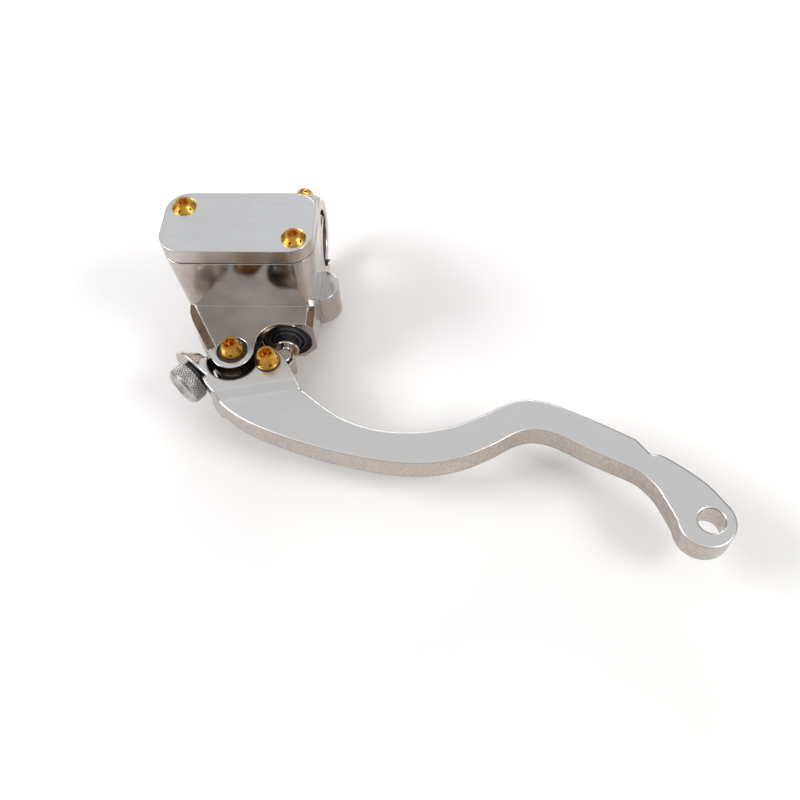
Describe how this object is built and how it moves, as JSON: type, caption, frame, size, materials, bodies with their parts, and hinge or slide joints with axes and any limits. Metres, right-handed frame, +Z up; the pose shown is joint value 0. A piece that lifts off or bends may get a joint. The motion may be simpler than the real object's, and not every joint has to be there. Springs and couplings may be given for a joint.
{
  "type": "brake master cylinder",
  "caption": "Radial brake master cylinder with built-in rectangular reservoir, two-half bar clamp, hinged lever with a reach adjuster knob, and working piston.",
  "frame": {"origin": "centre of the handlebar bore, in the middle of the clamp", "axes": "+X along the handlebar towards the lever tip, -Y from the bar towards the lever, +Z up out of the reservoir lid"},
  "size_m": [0.1857, 0.1414, 0.0594],
  "materials": {
    "polished": "mirror polished",
    "lever_metal": "satin top, brushed and polished sides",
    "knob_metal": "diamond knurled, bare",
    "piston_metal": "machined",
    "gold": "gold anodised, machined",
    "bronze": "machined bronze",
    "steel": "bright steel",
    "black_anodised": "black anodised",
    "rubber": "soft black rubber",
    "nylon": "black nylon"
  },
  "bodies": {
    "body": {"cylinder_body": "polished", "reservoir_lid": "polished", "diaphragm": "rubber", "lid_screws": "gold", "clamp_cap": "polished", "clamp_bolts": "gold", "pivot_bolt": "gold", "pivot_washer": "rubber", "pivot_lock_nut": "gold", "thrust_washers": "nylon", "piston_circlip": "steel", "dust_boot": "rubber", "return_spring": "steel"},
    "link": {"lever_link": "black_anodised", "pivot_bush": "bronze"},
    "pushrod": {"pushrod_barrel": "polished", "barrel_screw": "gold", "pushrod": "polished"},
    "piston": {"piston": "piston_metal", "primary_seal": "rubber", "secondary_seal": "rubber", "spring_seat": "steel"},
    "lever": {"lever": "lever_metal", "lever_tip": "lever_metal", "hinge_bolt": "gold", "hinge_washer": "rubber", "hinge_nut": "gold", "adjuster_washer": "nylon"},
    "adjuster_rod": {"adjuster_screw": "black_anodised"},
    "adjuster_knob": {"adjuster_knob": "knob_metal"}
  },
  "joints": [
    {"name": "lever_swing", "type": "hinge", "parent": "body", "child": "link", "pos_m": [-0.02, -0.0585, -0.0025], "axis": [0, 0, 1], "range_deg": [0, 18], "stiffness_Nm_per_rad": 1.2, "springref_deg": -14.32},
    {"name": "reach_adjust", "type": "hinge", "parent": "link", "child": "lever", "pos_m": [-0.0073, -0.0621, -0.0025], "axis": [0, 0, 1], "range_deg": [-1.5, 5]},
    {"name": "adjuster_feed", "type": "slide", "parent": "lever", "child": "adjuster_rod", "axis": [0.6428, 0.766, 0], "range_m": [-0.0006, 0.0018]},
    {"name": "adjuster_spin", "type": "hinge", "parent": "lever", "child": "adjuster_knob", "pos_m": [-0.0348, -0.0643, -0.0025], "axis": [0.6428, 0.766, 0], "range_deg": [-240, 780]},
    {"name": "pushrod_tilt", "type": "hinge", "parent": "link", "child": "pushrod", "pos_m": [-0.0034, -0.0565, -0.0025], "axis": [0, 0, 1], "range_deg": [-24, 0.5]},
    {"name": "piston_slide", "type": "slide", "parent": "body", "child": "piston", "axis": [0, 1, 0], "range_m": [-0.0001, 0.0051], "deforming": ["return_spring", "dust_boot"]}
  ],
  "couplings": [
    {"joint": "piston_slide", "follows": "lever_swing", "m_per_rad": 0.0158},
    {"joint": "pushrod_tilt", "follows": "lever_swing", "ratio": -1.28},
    {"joint": "adjuster_feed", "follows": "reach_adjust", "m_per_rad": 0.019652},
    {"joint": "adjuster_spin", "follows": "reach_adjust", "ratio": 154.35}
  ]
}
